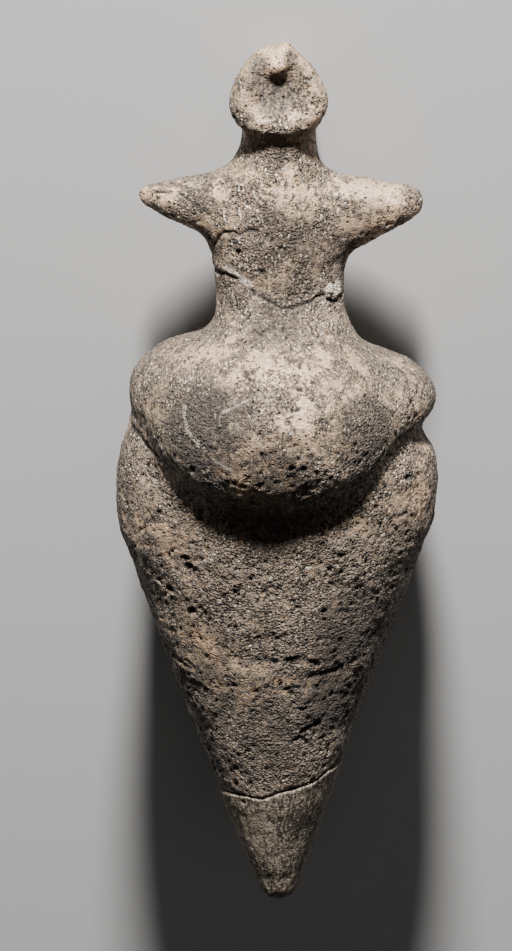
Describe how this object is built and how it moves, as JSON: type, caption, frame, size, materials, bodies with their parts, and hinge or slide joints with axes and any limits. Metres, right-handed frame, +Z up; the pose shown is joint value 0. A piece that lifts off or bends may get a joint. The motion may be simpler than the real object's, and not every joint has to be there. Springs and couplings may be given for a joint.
{
  "type": "steatopygous idol",
  "caption": "Hand-modelled fired clay idol with a beaked head, horn-like arms, a slim waist and heavy hips over legs fused to a point, lying on its back.",
  "frame": {"origin": "centre of the bounding box in plan, on the surface that the figure lies on", "axes": "+Y from the pointed foot to the head, +Z up, which is where the belly and face look, +X to the right of someone who looks down on the figure with its head away from them"},
  "size_m": [0.0736, 0.1966, 0.063],
  "materials": {
    "fired_clay": "low-fired grey-brown clay, once burnished, densely pitted, with worn pinkish patches",
    "restoration_fill": "matt toned filler, smoother than the clay, with fine scraping marks along its length"
  },
  "bodies": {
    "root": {"idol_body": "fired_clay", "restored_tip": "restoration_fill"}
  },
  "joints": []
}
